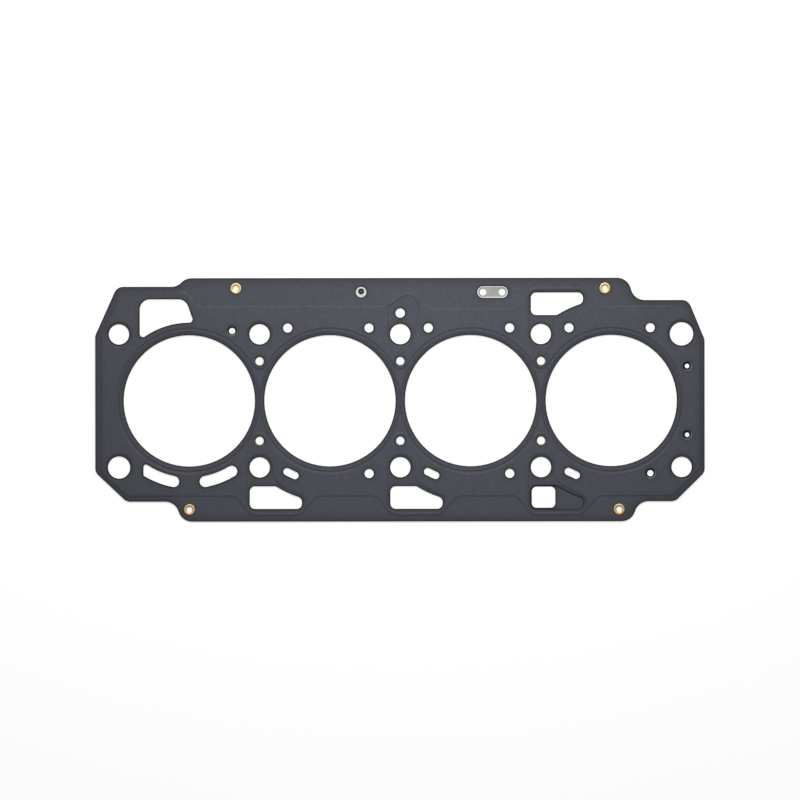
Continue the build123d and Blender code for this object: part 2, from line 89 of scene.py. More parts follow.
# Shape of the sheets: the coated ones' thickness, and where the lips of the bores begin to fall
COATED_THICKNESS = 0.25 * MM
LIP_RADIUS = 44.75 * MM

# The least upward normal of a flat face, and the most of a wall
FLAT_ENOUGH = 0.9
WALL_LIMIT = 0.5

# Upward normals between the underside's and those of the walls
UNDERSIDE_ENDS = (-0.3, -0.1)

# The middle range of a noise pattern: close for patches of colour, wide for roughness
CLOSE_RANGE = (0.35, 0.65)
WIDE_RANGE = (0.3, 0.7)

log = logging.getLogger("gasket")


class Side(Enum):
    """The side of a sheet, as the direction its surface faces."""

    UP = 1
    DOWN = -1


def tone(red: float, green: float, blue: float) -> tuple[float, float, float, float]:
    """A screen colour as the linear colour that a shader takes.

    Args:
        red: Red, from 0 to 255.
        green: Green, from 0 to 255.
        blue: Blue, from 0 to 255.

    Returns:
        The linear red, green and blue, and an alpha of 1.
    """

    def linear(value: float) -> float:
        share = value / 255
        return share / 12.92 if share <= 0.04045 else ((share + 0.055) / 1.055) ** 2.4

    return linear(red), linear(green), linear(blue), 1.0


class NodeBoard:
    """Lays out the nodes of one material or world."""

    def __init__(self, tree: bpy.types.NodeTree) -> None:
        """Start from an empty tree.

        Args:
            tree: The node tree to fill.
        """
        self.tree = tree
        self.tree.nodes.clear()

    def add(self, kind: str, **settings: object) -> bpy.types.Node:
        """Add a node and set its properties.

        Args:
            kind: The node's type, such as "ShaderNodeTexNoise".
            **settings: Properties of the node to set.

        Returns:
            The new node.
        """
        node = self.tree.nodes.new(kind)
        for name, value in settings.items():
            setattr(node, name, value)
        return node

    def join(self, start: bpy.types.NodeSocket, end: bpy.types.NodeSocket) -> None:
        """Link an output to an input."""
        self.tree.links.new(start, end)

    def noise(self, scale: float, detail: float, offset: float = 0.0) -> bpy.types.NodeSocket:
        """A noise pattern on Object coordinates.

        Args:
            scale: Patches to the metre.
            detail: Octaves of the noise.
            offset: Shift of the pattern, so that two patterns differ.

        Returns:
            The pattern's value, from 0 to 1.
        """
        place = self.add("ShaderNodeTexCoord")
        mapping = self.add("ShaderNodeMapping")
        mapping.inputs["Location"].default_value = (offset, offset, offset)
        pattern = self.add("ShaderNodeTexNoise")
        pattern.inputs["Scale"].default_value = scale
        pattern.inputs["Detail"].default_value = detail
        self.join(place.outputs["Object"], mapping.inputs["Vector"])
        self.join(mapping.outputs["Vector"], pattern.inputs["Vector"])
        return pattern.outputs["Fac"]

    def remap(
        self, value: bpy.types.NodeSocket, low: float, high: float, to_low: float, to_high: float
    ) -> bpy.types.NodeSocket:
        """Stretch a value from one range to another, and clamp it there.

        Args:
            value: The value to stretch.
            low: Start of its range.
            high: End of its range.
            to_low: What the start becomes.
            to_high: What the end becomes.

        Returns:
            The stretched value.
        """
        node = self.add("ShaderNodeMapRange", clamp=True)
        node.inputs["From Min"].default_value = low
        node.inputs["From Max"].default_value = high
        node.inputs["To Min"].default_value = to_low
        node.inputs["To Max"].default_value = to_high
        self.join(value, node.inputs["Value"])
        return node.outputs["Result"]

    def blend(
        self,
        share: bpy.types.NodeSocket,
        first: bpy.types.NodeSocket | tuple[float, ...],
        second: bpy.types.NodeSocket | tuple[float, ...],
    ) -> bpy.types.NodeSocket:
        """Mix two colours by a share.

        Args:
            share: 0 for the first colour, 1 for the second.
            first: A colour, or a socket that gives one.
            second: A colour, or a socket that gives one.

        Returns:
            The mixed colour.
        """
        node = self.add("ShaderNodeMix", data_type="RGBA")
        self.join(share, node.inputs["Factor"])
        for colour, name in ((first, "A"), (second, "B")):
            socket = next(s for s in node.inputs if s.name == name and s.type == "RGBA")
            if isinstance(colour, tuple):
                socket.default_value = colour
            else:
                self.join(colour, socket)
        return next(s for s in node.outputs if s.type == "RGBA")

    def fade(
        self, share: bpy.types.NodeSocket, first: bpy.types.NodeSocket, second: float
    ) -> bpy.types.NodeSocket:
        """Fade a value towards a number by a share.

        Args:
            share: 0 for the value, 1 for the number.
            first: The value.
            second: The number.

        Returns:
            The faded value.
        """
        node = self.add("ShaderNodeMix", data_type="FLOAT")
        self.join(share, node.inputs["Factor"])
        self.join(first, node.inputs["A"])
        node.inputs["B"].default_value = second
        return node.outputs["Result"]

    def glow(self, centre: tuple[float, float], radii: tuple[float, float]) -> bpy.types.NodeSocket:
        """A broad soft patch on Object coordinates, in plan.

        Args:
            centre: X and Y of its middle.
            radii: How far it reaches along X and along Y.

        Returns:
            1 in the middle, falling to 0 at the radii.
        """
        place = self.add("ShaderNodeTexCoord")
        mapping = self.add("ShaderNodeMapping")
        mapping.inputs["Location"].default_value = (-centre[0] / radii[0], -centre[1] / radii[1], 0.0)
        mapping.inputs["Scale"].default_value = (1 / radii[0], 1 / radii[1], 0.0)
        patch = self.add("ShaderNodeTexGradient", gradient_type="SPHERICAL")
        self.join(place.outputs["Object"], mapping.inputs["Vector"])
        self.join(mapping.outputs["Vector"], patch.inputs["Vector"])
        return patch.outputs["Fac"]

    def distance(self, centre: tuple[float, float]) -> bpy.types.NodeSocket:
        """The distance from a point, in plan, on Object coordinates.

        Args:
            centre: X and Y of the point.

        Returns:
            The distance in metres.
        """
        place = self.add("ShaderNodeTexCoord")
        flat = self.add("ShaderNodeMapping")
        flat.inputs["Location"].default_value = (-centre[0], -centre[1], 0.0)
        flat.inputs["Scale"].default_value = (1.0, 1.0, 0.0)
        length = self.add("ShaderNodeVectorMath", operation="LENGTH")
        self.join(place.outputs["Object"], flat.inputs["Vector"])
        self.join(flat.outputs["Vector"], length.inputs[0])
        return length.outputs["Value"]

    def math(
        self, operation: str, first: bpy.types.NodeSocket, second: bpy.types.NodeSocket
    ) -> bpy.types.NodeSocket:
        """Join two values by an operation, such as "MULTIPLY"."""
        node = self.add("ShaderNodeMath", operation=operation)
        self.join(first, node.inputs[0])
        self.join(second, node.inputs[1])
        return node.outputs[0]

    def upward(self) -> bpy.types.NodeSocket:
        """How far a surface faces up, from -1 to 1, on Object coordinates."""
        place = self.add("ShaderNodeTexCoord")
        split = self.add("ShaderNodeSeparateXYZ")
        self.join(place.outputs["Normal"], split.inputs["Vector"])
        return split.outputs["Z"]

    def facing(self, side: Side) -> bpy.types.NodeSocket:
        """Whether a surface belongs to one side of a sheet; its walls count as the upper side.

        Args:
            side: The side to tell.

        Returns:
            1 on that side, 0 on the other.
        """
        above = float(side is Side.UP)
        return self.remap(self.upward(), *UNDERSIDE_ENDS, 1.0 - above, above)

    def nearest(self, centres: tuple[tuple[float, float], ...]) -> bpy.types.NodeSocket:
        """The distance from the closest of some points, in plan."""
        closest = self.distance(centres[0])
        for centre in centres[1:]:
            closest = self.math("MINIMUM", closest, self.distance(centre))
        return closest

    def crescent(
        self, centre: tuple[float, float], radius: float, width: float, turn: float
    ) -> bpy.types.NodeSocket:
        """A thin arc round a hole, widest on one side, in plan.

        It is what a disc a little larger than the hole leaves beside the same disc moved away.

        Args:
            centre: X and Y of the hole.
            radius: Radius of the hole.
            width: Width of the arc where it is widest.
            turn: Direction of its widest place, in radians from +X.

        Returns:
            1 on the arc, 0 off it.
        """
        outer_fade = radius + 0.7 * width
        inner_fade = radius + 0.5 * width
        end = radius + width
        moved = (centre[0] - width * math.cos(turn), centre[1] - width * math.sin(turn))
        outer = self.remap(self.distance(centre), outer_fade, end, 1.0, 0.0)
        inner = self.remap(self.distance(moved), inner_fade, end, 0.0, 1.0)
        return self.math("MULTIPLY", outer, inner)

    def steps(
        self, nearness: bpy.types.NodeSocket, stops: tuple[tuple[float, float], ...]
    ) -> bpy.types.NodeSocket:
        """Grade a value by the distance to the next cut edge.

        Args:
            nearness: The sheet's nearness attribute.
            stops: Distances in millimetres, furthest first, each with its value.

        Returns:
            The graded value.
        """
        node = self.add("ShaderNodeValToRGB")
        ramp = node.color_ramp
        while len(ramp.elements) < len(stops):
            ramp.elements.new(0.5)
        for element, (distance, _value) in zip(ramp.elements, stops):
            element.position = 1.0 - distance * MM / REACH
        for element, (_distance, value) in zip(ramp.elements, stops):
            element.color = (value, value, value, 1.0)
        self.join(nearness, node.inputs["Fac"])
        return node.outputs["Color"]

    def bump(
        self,
        height: bpy.types.NodeSocket,
        strength: float,
        distance: float,
        normal: bpy.types.NodeSocket | None = None,
    ) -> bpy.types.NodeSocket:
        """Turn a height pattern into a normal.

        Args:
            height: The pattern.
            strength: How much of it shows.
            distance: The pattern's depth, in metres.
            normal: The normal that the pattern is laid on, if not the surface's own.

        Returns:
            The normal.
        """
        node = self.add("ShaderNodeBump")
        node.inputs["Strength"].default_value = strength
        node.inputs["Distance"].default_value = distance
        self.join(height, node.inputs["Height"])
        if normal:
            self.join(normal, node.inputs["Normal"])
        return node.outputs["Normal"]

    def show(self, surface: bpy.types.NodeSocket) -> None:
        """Make a shader the surface of the material."""
        out = self.add("ShaderNodeOutputMaterial")
        self.join(surface, out.inputs["Surface"])


def blank_material(name: str) -> tuple[bpy.types.Material, NodeBoard]:
    """Make a material with no nodes yet, and the board to lay them on."""
    made = bpy.data.materials.new(name)
    made.use_nodes = True
    return made, NodeBoard(made.node_tree)


@dataclass(frozen=True)
class GlintHole:
    """A small hole whose rim carries a painted highlight on one side."""

    x: float
    y: float
    radius: float
    turn: float

    @property
    def centre(self) -> tuple[float, float]:
        """X and Y of the hole's middle."""
        return self.x, self.y


METERED_HOLES = (
    GlintHole(-107.6 * MM, 44.7 * MM, 2.95 * MM, -1.66),
    GlintHole(160.0 * MM, -46.6 * MM, 2.95 * MM, -1.05),
    GlintHole(183.6 * MM, 22.0 * MM, 2.6 * MM, -0.75),
    GlintHole(183.6 * MM, -22.0 * MM, 2.6 * MM, -0.9),
)
BRIDGE_HOLES = (
    GlintHole(-90.0 * MM, 25.5 * MM, 2.7 * MM, -1.9),
    GlintHole(0.0, 25.5 * MM, 2.7 * MM, -1.45),
    GlintHole(90.0 * MM, 25.5 * MM, 2.7 * MM, -1.0),
    GlintHole(-90.0 * MM, -25.5 * MM, 2.7 * MM, -1.9),
    GlintHole(0.0, -25.5 * MM, 2.7 * MM, -1.6),
    GlintHole(90.0 * MM, -25.5 * MM, 2.7 * MM, -1.3),
)


@dataclass(frozen=True)
class CoatedSteel:
    """Spring steel under a thin satin elastomer coating; painted shade darkens its cut edges, ramps and
    holes, and painted highlights brighten small hole rims.
    """

    name: str = "coated_steel"
    cool_tone: tuple[float, ...] = tone(56, 60, 69)
    warm_tone: tuple[float, ...] = tone(58, 58, 68)
    shade_tone: tuple[float, ...] = tone(2, 2, 4)
    patch_scale: float = 70.0
    fleck_scale: float = 420.0
    fleck_share: float = 0.19
    light_tone: tuple[float, ...] = tone(84, 86, 96)
    grain_scale: float = 2600.0
    grain_strength: float = 0.5
    grain_depth: float = 0.004 * MM
    roughness: float = 0.55
    roughness_scale: float = 350.0
    roughness_spread: float = 0.04
    edge_roughness: float = 0.95
    specular: float = 0.28
    # Painted shade near the cut edges: distance in millimetres and share of the shade tone.
    edge_shade_steps: tuple[tuple[float, float], ...] = (
        (3.9, 0.0), (2.6, 0.08), (1.7, 0.11), (1.2, 0.19), (0.8, 0.44), (0.3, 0.6)
    )
    outline_shade_depth: float = 0.34
    edge_shade: float = 0.98
    ramp_level: float = 0.965
    flat_level: float = 0.992
    slope_shade: float = 0.16
    lip_shade: float = 0.16
    lip_fade: float = 0.5 * MM
    rivet_edge: float = 3.5 * MM
    rivet_fade: float = 0.75 * MM
    rivet_shade: float = 0.9
    eye_hole: tuple[float, float] = (-25.0 * MM, 69.9 * MM)
    eye_hole_radius: float = 1.85 * MM
    eye_fade: float = 0.2 * MM
    eye_ring: tuple[float, float] = (0.6 * MM, 1.3 * MM)
    eye_shade: float = 0.9
    covered_port: tuple[float, float] = (112.0 * MM, -62.0 * MM)
    covered_radii: tuple[float, float] = (15.5 * MM, 14.0 * MM)
    covered_shade: float = 0.3
    covered_fade: float = 0.15
    ledge_start: float = 0.7 * MM
    ledge_end: float = 1.0 * MM
    ledge_shade: float = 0.2
    floor_fade: float = 0.1 * MM
    floor_shade: float = 0.97
    relief_scale: float = 0.74
    bore_scale: float = 1.0
    relief_reach: float = 50.0 * MM
    faint_shelf: tuple[float, float] = (-160.0 * MM, 71.0 * MM)
    faint_radii: tuple[float, float] = (22.0 * MM, 8.0 * MM)
    faint_fade: float = 0.2
    faint_scale: float = 0.25
    glint_tone: tuple[float, ...] = tone(118, 118, 116)
    glint_width: float = 0.48 * MM
    rivets: tuple[tuple[float, float], ...] = ()
    bores: tuple[tuple[float, float], ...] = ()
    # Painted shade: the coating darkens away from this point, as uneven light leaves it.
    painted_light_centre: tuple[float, float] = (25.0 * MM, 45.0 * MM)
    painted_light_radii: tuple[float, float] = (260.0 * MM, 260.0 * MM)
    far_shade: float = 0.34

    def material(self) -> bpy.types.Material:
        """Build the material: mottled colour, fine grain, painted shade and painted highlights."""
        made, board = blank_material(self.name)
        shader = board.add("ShaderNodeBsdfPrincipled")
        patches = board.remap(board.noise(self.patch_scale, 4.0), *CLOSE_RANGE, 0.0, 1.0)
        colour = board.blend(patches, self.cool_tone, self.warm_tone)
        flecks = board.remap(board.noise(self.fleck_scale, 4.0, 0.9), 0.4, 0.75, 0.0, self.fleck_share)
        colour = board.blend(flecks, colour, self.light_tone)
        # Painted shade, growing towards the far corners of the sheet.
        shade = board.remap(board.glow(self.painted_light_centre, self.painted_light_radii), 0.0, 1.0, self.far_shade, 0.0)
        colour = board.blend(shade, colour, self.shade_tone)
        # Painted shade: darker towards the outline of the sheet.
        outline = board.add("ShaderNodeAttribute", attribute_name=OUTLINE_NEARNESS)
        outline_shade = board.remap(outline.outputs["Fac"], 0.0, 1.0, 0.0, self.outline_shade_depth)
        colour = board.blend(outline_shade, colour, self.shade_tone)
        # Painted shade: darker close to every cut edge.
        near = board.add("ShaderNodeAttribute", attribute_name=NEARNESS)
        colour = board.blend(board.steps(near.outputs["Fac"], self.edge_shade_steps), colour, self.shade_tone)
        colour = board.blend(self.relief_shade(board), colour, self.shade_tone)
        # Painted shade: the cut edges and their walls, the rivet rims and the deep holes go dark.
        painted_shade = self.painted_shade(board)
        colour = board.blend(painted_shade, colour, self.shade_tone)
        # Painted highlights on one side of the small holes' rims.
        colour = board.blend(self.glints(board), colour, self.glint_tone)
        board.join(colour, shader.inputs["Base Color"])
        low = self.roughness - self.roughness_spread
        high = self.roughness + self.roughness_spread
        rough = board.remap(board.noise(self.roughness_scale, 3.0, 0.7), *WIDE_RANGE, low, high)
        board.join(board.fade(painted_shade, rough, self.edge_roughness), shader.inputs["Roughness"])
        shader.inputs["Specular IOR Level"].default_value = self.specular
        grain = board.noise(self.grain_scale, 2.0, 0.3)
        relief = self.soft_relief(board)
        surface = board.bump(grain, self.grain_strength, self.grain_depth, relief)
        board.join(surface, shader.inputs["Normal"])
        board.show(shader.outputs["BSDF"])
        return made

    def soft_relief(self, board: NodeBoard) -> bpy.types.NodeSocket:
        """The surface normal, with the ramps steeper at the bores and eased elsewhere."""
        bores = board.nearest(self.bores)
        reach_end = self.relief_reach + MM
        eased = board.remap(bores, self.relief_reach, reach_end, self.bore_scale, self.relief_scale)
        shelf = board.glow(self.faint_shelf, self.faint_radii)
        faint = board.remap(shelf, 0.0, self.faint_fade, 1.0, self.faint_scale)
        eased = board.math("MULTIPLY", eased, faint)
        scale = board.add("ShaderNodeCombineXYZ")
        board.join(eased, scale.inputs["X"])
        board.join(eased, scale.inputs["Y"])
        scale.inputs["Z"].default_value = 1.0
        surface = board.add("ShaderNodeNewGeometry")
        flatter = board.add("ShaderNodeVectorMath", operation="MULTIPLY")
        board.join(surface.outputs["Normal"], flatter.inputs[0])
        board.join(scale.outputs["Vector"], flatter.inputs[1])
        normal = board.add("ShaderNodeVectorMath", operation="NORMALIZE")
        board.join(flatter.outputs["Vector"], normal.inputs[0])
        return normal.outputs["Vector"]

    def relief_shade(self, board: NodeBoard) -> bpy.types.NodeSocket:
        """How much darker the coating is on the ramps of the relief and on the bore lips."""
        upward = board.upward()
        level = board.math("MULTIPLY", upward, upward)
        ramps = board.remap(level, self.ramp_level, self.flat_level, self.slope_shade, 0.0)
        lip_end = LIP_RADIUS + self.lip_fade
        lips = board.remap(board.nearest(self.bores), LIP_RADIUS, lip_end, self.lip_shade, 0.0)
        return board.math("MAXIMUM", ramps, lips)

    def painted_shade(self, board: NodeBoard) -> bpy.types.NodeSocket:
        """Painted shade on the coating: at the cut edges, round the rivets and in the eye.

        Args:
            board: The material's board.

        Returns:
            0 for the plain coating, 1 for the shade tone.
        """
        edge = board.add("ShaderNodeAttribute", attribute_name=CUT_EDGE)
        plain = board.remap(edge.outputs["Fac"], 0.0, EDGE_FULL, 0.0, self.edge_shade)
        marked = board.math("MAXIMUM", self.ledges(board, plain), self.eye(board))
        above = board.math("MINIMUM", marked, board.facing(Side.UP))
        below = board.math("MINIMUM", plain, board.facing(Side.DOWN))
        # Painted shadow in a ring round each rivet flange.
        rivet_end = self.rivet_edge + self.rivet_fade
        around = board.nearest(self.rivets)
        rivets = board.remap(around, self.rivet_edge, rivet_end, self.rivet_shade, 0.0)
        return board.math("MAXIMUM", board.math("MAXIMUM", above, below), rivets)

    def ledges(self, board: NodeBoard, painted_shade: bpy.types.NodeSocket) -> bpy.types.NodeSocket:
        """Ease the painted shade at the covered port and on the ledges of the metered holes, and paint
        shade at the bottom of each metered hole.

        Args:
            board: The material's board.
            painted_shade: How dark the cut edges are painted.

        Returns:
            The painted shade with these changes.
        """
        covered = board.glow(self.covered_port, self.covered_radii)
        eased = board.remap(covered, 0.0, self.covered_fade, 1.0, self.covered_shade)
        painted_shade = board.math("MULTIPLY", painted_shade, eased)
        for hole in METERED_HOLES:
            away = board.distance(hole.centre)
            start = hole.radius + self.ledge_start
            end = hole.radius + self.ledge_end
            rim = board.remap(away, start, end, self.ledge_shade, 1.0)
            # Painted shade on the lower sheet inside the hole, where the deep hole is shaded.
            floor = board.remap(away, hole.radius - self.floor_fade, hole.radius, self.floor_shade, 0.0)
            painted_shade = board.math("MAXIMUM", board.math("MULTIPLY", painted_shade, rim), floor)
        return painted_shade

    def eye(self, board: NodeBoard) -> bpy.types.NodeSocket:
        """Painted shade: a dark ring at the bottom of the hole in the round window, where the deep hole is
        shaded.
        """
        away = board.distance(self.eye_hole)
        inside = board.remap(away, *self.eye_ring, 0.0, self.eye_shade)
        end = self.eye_hole_radius + self.eye_fade
        around = board.remap(away, self.eye_hole_radius, end, 1.0, 0.0)
        return board.math("MULTIPLY", inside, around)

    def glints(self, board: NodeBoard) -> bpy.types.NodeSocket:
        """Painted highlights: bright arcs on one side of the rims of small holes, where their walls would
        catch the light.
        """
        holes = METERED_HOLES + BRIDGE_HOLES
        arcs = [board.crescent(hole.centre, hole.radius, self.glint_width, hole.turn) for hole in holes]
        share = arcs[0]
        for arc in arcs[1:]:
            share = board.math("MAXIMUM", share, arc)
        return board.math("MULTIPLY", share, board.facing(Side.UP))


@dataclass(frozen=True)
class BareSteel:
    """Bare rolled strip: fine lines along its rolling direction, with painted shade along its cut edges.
    """

    name: str
    light_tone: tuple[float, ...]
    dark_tone: tuple[float, ...]
    shade_tone: tuple[float, ...] = tone(16, 16, 18)
    roughness: float = 0.42
    roughness_spread: float = 0.06
    cloud_scale: float = 110.0
    line_scale: float = 1500.0
    line_stretch: float = 0.04
    line_strength: float = 0.6
    line_depth: float = 0.002 * MM
    edge_shade: float = 0.95
    lit_shade: float = 0.2
    lit_places: tuple[tuple[tuple[float, float], tuple[float, float]], ...] = (
        ((59.4 * MM, 69.5 * MM), (12.5 * MM, 7.0 * MM)),
        ((-25.0 * MM, 69.5 * MM), (5.5 * MM, 5.5 * MM)),
    )
    lit_fade: float = 0.1
    bridge_rim: float = 2.4 * MM
    bridge_arc: float = 0.6 * MM

    def material(self) -> bpy.types.Material:
        """Build the material: rolled lines, cloudy tone, painted shade on the cut edges."""
        made, board = blank_material(self.name)
        shader = board.add("ShaderNodeBsdfPrincipled")
        shader.inputs["Metallic"].default_value = 1.0
        place = board.add("ShaderNodeTexCoord")
        along = board.add("ShaderNodeMapping")
        along.inputs["Scale"].default_value = (self.line_stretch, 1.0, 1.0)
        lines = board.add("ShaderNodeTexNoise")
        lines.inputs["Scale"].default_value = self.line_scale
        lines.inputs["Detail"].default_value = 3.0
        board.join(place.outputs["Object"], along.inputs["Vector"])
        board.join(along.outputs["Vector"], lines.inputs["Vector"])
        clouds = board.remap(board.noise(self.cloud_scale, 3.0), *CLOSE_RANGE, 0.0, 1.0)
        colour = board.blend(clouds, self.light_tone, self.dark_tone)
        edge = board.add("ShaderNodeAttribute", attribute_name=CUT_EDGE)
        painted_shade = board.remap(edge.outputs["Fac"], 0.0, EDGE_FULL, 0.0, self.edge_shade)
        # Painted light: less painted shade in the windows and on the lit side of the bridge holes' rims,
        # where those edges catch the lamp.
        for centre, radii in self.lit_places:
            lit = board.remap(board.glow(centre, radii), 0.0, self.lit_fade, 1.0, self.lit_shade)
            painted_shade = board.math("MULTIPLY", painted_shade, lit)
        for hole in BRIDGE_HOLES:
            arc = board.crescent(hole.centre, self.bridge_rim, self.bridge_arc, hole.turn)
            painted_shade = board.math("MULTIPLY", painted_shade, board.remap(arc, 0.0, 1.0, 1.0, self.lit_shade))
        board.join(board.blend(painted_shade, colour, self.shade_tone), shader.inputs["Base Color"])
        low = self.roughness - self.roughness_spread
        high = self.roughness + self.roughness_spread
        board.join(board.remap(lines.outputs["Fac"], *WIDE_RANGE, low, high), shader.inputs["Roughness"])
        surface = board.bump(lines.outputs["Fac"], self.line_strength, self.line_depth)
        board.join(surface, shader.inputs["Normal"])
        board.show(shader.outputs["BSDF"])
        return made


@dataclass(frozen=True)
class DrawnBrass:
    """Satin brass of the hollow rivets, with faint tarnish."""

    name: str = "drawn_brass"
    bright_tone: tuple[float, ...] = tone(184, 160, 110)
    tarnish_tone: tuple[float, ...] = tone(166, 138, 88)
    tarnish_scale: float = 700.0
    roughness: float = 0.42
    roughness_rise: float = 0.12
    roughness_scale: float = 1800.0
    mark_scale: float = 5200.0
    mark_strength: float = 0.4
    mark_depth: float = 0.003 * MM

    def material(self) -> bpy.types.Material:
        """Build the material: bright brass with soft tarnish and fine drawing marks."""
        made, board = blank_material(self.name)
        shader = board.add("ShaderNodeBsdfPrincipled")
        shader.inputs["Metallic"].default_value = 1.0
        tarnish = board.remap(board.noise(self.tarnish_scale, 3.0), 0.4, 0.7, 0.0, 1.0)
        board.join(board.blend(tarnish, self.bright_tone, self.tarnish_tone), shader.inputs["Base Color"])
        cloud = board.noise(self.roughness_scale, 2.0, 0.2)
        high = self.roughness + self.roughness_rise
        board.join(board.remap(cloud, *WIDE_RANGE, self.roughness, high), shader.inputs["Roughness"])
        marks = board.noise(self.mark_scale, 2.0, 0.5)
        board.join(board.bump(marks, self.mark_strength, self.mark_depth), shader.inputs["Normal"])
        board.show(shader.outputs["BSDF"])
        return made


def take_up(piece: bpy.types.Object) -> None:
    """Make a piece the only selected object and the active one."""
    bpy.ops.object.select_all(action="DESELECT")
    piece.select_set(True)
    bpy.context.view_layer.objects.active = piece


def middle(node: str) -> tuple[float, float]:
    """X and Y of the middle of a CAD node."""
    low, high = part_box(node)
    return (low.x + high.x) / 2, (low.y + high.y) / 2


def dress(piece: bpy.types.Object, material: bpy.types.Material) -> None:
    """Give a piece one material all over."""
    piece.data.materials.clear()
    piece.data.materials.append(material)
    for face in piece.data.polygons:
        face.material_index = 0


@dataclass
class StampedSheet:
    """A sheet of the stack: a copy of its CAD node, with the rims that stamping leaves.

    Every cut edge is rolled over a little. Attributes mark the band along it, and tell the
    finishes how near a cut edge and the outline are. The lips of the bores fall to their edges.
    """

    node: str
    piece_name: str
    slot: str
    sides: tuple[Side, ...]
    pressed: Side | None = None
    rollover_width: float = 0.10 * MM
    rollover_drop: float = 0.05 * MM
    band_width: float = 0.4 * MM
    coined_shade: float = 0.12
    merge_distance: float = 0.001 * MM
    sliver_limit: float = 0.002 * MM
    crease_angle: float = math.radians(10.0)
    grid_pitch: float = 2.5 * MM
    sample_pitch: float = 0.4 * MM
    least_wall: float = 0.1 * MM
    bore_radius: float = 42.0 * MM
    lip_drop: float = 0.18 * MM
    lip_facing: float = 0.3

    def build(self, frame: dict[str, object], material: bpy.types.Material) -> bpy.types.Object:
        """Model the sheet and let it stand for its CAD node.

        Args:
            material: The sheet's finish.

        Returns:
            The finished piece.
        """
        source = frame["nodes"][self.node]
        piece = bpy.data.objects.new(self.piece_name, source.data.copy())
        bpy.context.scene.collection.objects.link(piece)
        take_up(piece)
        bpy.ops.mesh.customdata_custom_splitnormals_clear()
        bpy.ops.object.mode_set(mode="EDIT")
        bpy.ops.mesh.select_mode(type="FACE")
        bpy.ops.mesh.select_all(action="SELECT")
        bpy.ops.mesh.remove_doubles(threshold=self.merge_distance)
        bpy.ops.mesh.dissolve_degenerate(threshold=self.sliver_limit)
        shape = bmesh.from_edit_mesh(piece.data)
        for name in (CUT_EDGE, NEARNESS, OUTLINE_NEARNESS):
            shape.verts.layers.float.new(name)
        for side in self.sides:
            self.band(piece, side)
        if self.pressed:
            for side in self.sides:
                self.divide(piece, side)
        self.mark(piece)
        self.roll_rims(piece)
        if self.pressed:
            self.lower_lips(piece)
        bpy.ops.mesh.select_all(action="SELECT")
        bpy.ops.mesh.quads_convert_to_tris()
        bpy.ops.object.mode_set(mode="OBJECT")
        bpy.ops.object.shade_smooth_by_angle(angle=self.crease_angle)
        dress(piece, material)
        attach(piece, BODY)
        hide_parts(self.node)
        return piece

    def band(self, piece: bpy.types.Object, side: Side) -> None:
        """Follow every cut edge of one side with a rim and a band.

        Args:
            piece: The sheet, in edit mode.
            side: The side to work on.
        """
        bpy.ops.mesh.select_all(action="DESELECT")
        shape = bmesh.from_edit_mesh(piece.data)
        for face in shape.faces:
            face.select = face.normal.z * side.value > FLAT_ENOUGH
        bmesh.update_edit_mesh(piece.data)
        for width, on_rim in ((self.rollover_width, True), (self.band_width, False)):
            bpy.ops.mesh.inset(use_boundary=True, use_even_offset=False, thickness=width)
            shape = bmesh.from_edit_mesh(piece.data)
            layer = shape.verts.layers.float[CUT_EDGE]
            for face in shape.faces:
                if face.normal.z * side.value > FLAT_ENOUGH and face.select != on_rim:
                    for corner in face.verts:
                        corner[layer] = float(on_rim)
            bmesh.update_edit_mesh(piece.data)

    def divide(self, piece: bpy.types.Object, side: Side) -> None:
        """Cut one side along a square grid, so that it can carry soft shading.

        Args:
            piece: The sheet, in edit mode.
            side: The side to work on.
        """
        low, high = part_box(self.node)
        shape = bmesh.from_edit_mesh(piece.data)
        faces = [face for face in shape.faces if face.normal.z * side.value > FLAT_ENOUGH]
        for axis in (0, 1):
            count = int((high[axis] - low[axis]) / self.grid_pitch)
            lines = [low[axis] + line * self.grid_pitch for line in range(1, count + 1)]
            faces = self.split(shape, faces, axis, lines)
        bmesh.update_edit_mesh(piece.data)

    def split(
        self, shape: bmesh.types.BMesh, faces: list[bmesh.types.BMFace], axis: int, lines: list[float]
    ) -> list[bmesh.types.BMFace]:
        """Cut faces along parallel lines, halving them at the middle line first.

        Args:
            shape: The mesh.
            faces: The faces to cut.
            axis: 0 for lines across X, 1 for lines across Y.
            lines: Where the lines lie, in rising order.

        Returns:
            All the faces that the cuts leave.
        """
        if not lines or not faces:
            return faces
        half = len(lines) // 2
        normal = Vector((1.0 - axis, float(axis), 0.0))
        edges = {edge for face in faces for edge in face.edges}
        cut = bmesh.ops.bisect_plane(
            shape, geom=faces + list(edges), plane_co=normal * lines[half], plane_no=normal
        )
        parts: tuple[list[bmesh.types.BMFace], ...] = ([], [])
        for item in cut["geom"]:
            if isinstance(item, bmesh.types.BMFace):
                parts[item.calc_center_median()[axis] > lines[half]].append(item)
        before = self.split(shape, parts[0], axis, lines[:half])
        return before + self.split(shape, parts[1], axis, lines[half + 1 :])

    def walls(self, shape: bmesh.types.BMesh) -> list[bmesh.types.BMFace]:
        """The cut edges of the sheet, without the shallow walls of coined marks."""
        found = []
        for face in shape.faces:
            heights = [corner.co.z for corner in face.verts]
            if abs(face.normal.z) < WALL_LIMIT and max(heights) - min(heights) > self.least_wall:
                found.append(face)
        return found

    def outline(self, walls: list[bmesh.types.BMFace]) -> list[bmesh.types.BMFace]:
        """The walls that are joined to the one furthest along X: those of the outline."""
        known = set(walls)
        reached = {max(walls, key=lambda face: face.calc_center_median().x)}
        waiting = list(reached)
        while waiting:
            for edge in waiting.pop().edges:
                for face in edge.link_faces:
                    if face in known and face not in reached:
                        reached.add(face)
                        waiting.append(face)
        return list(reached)

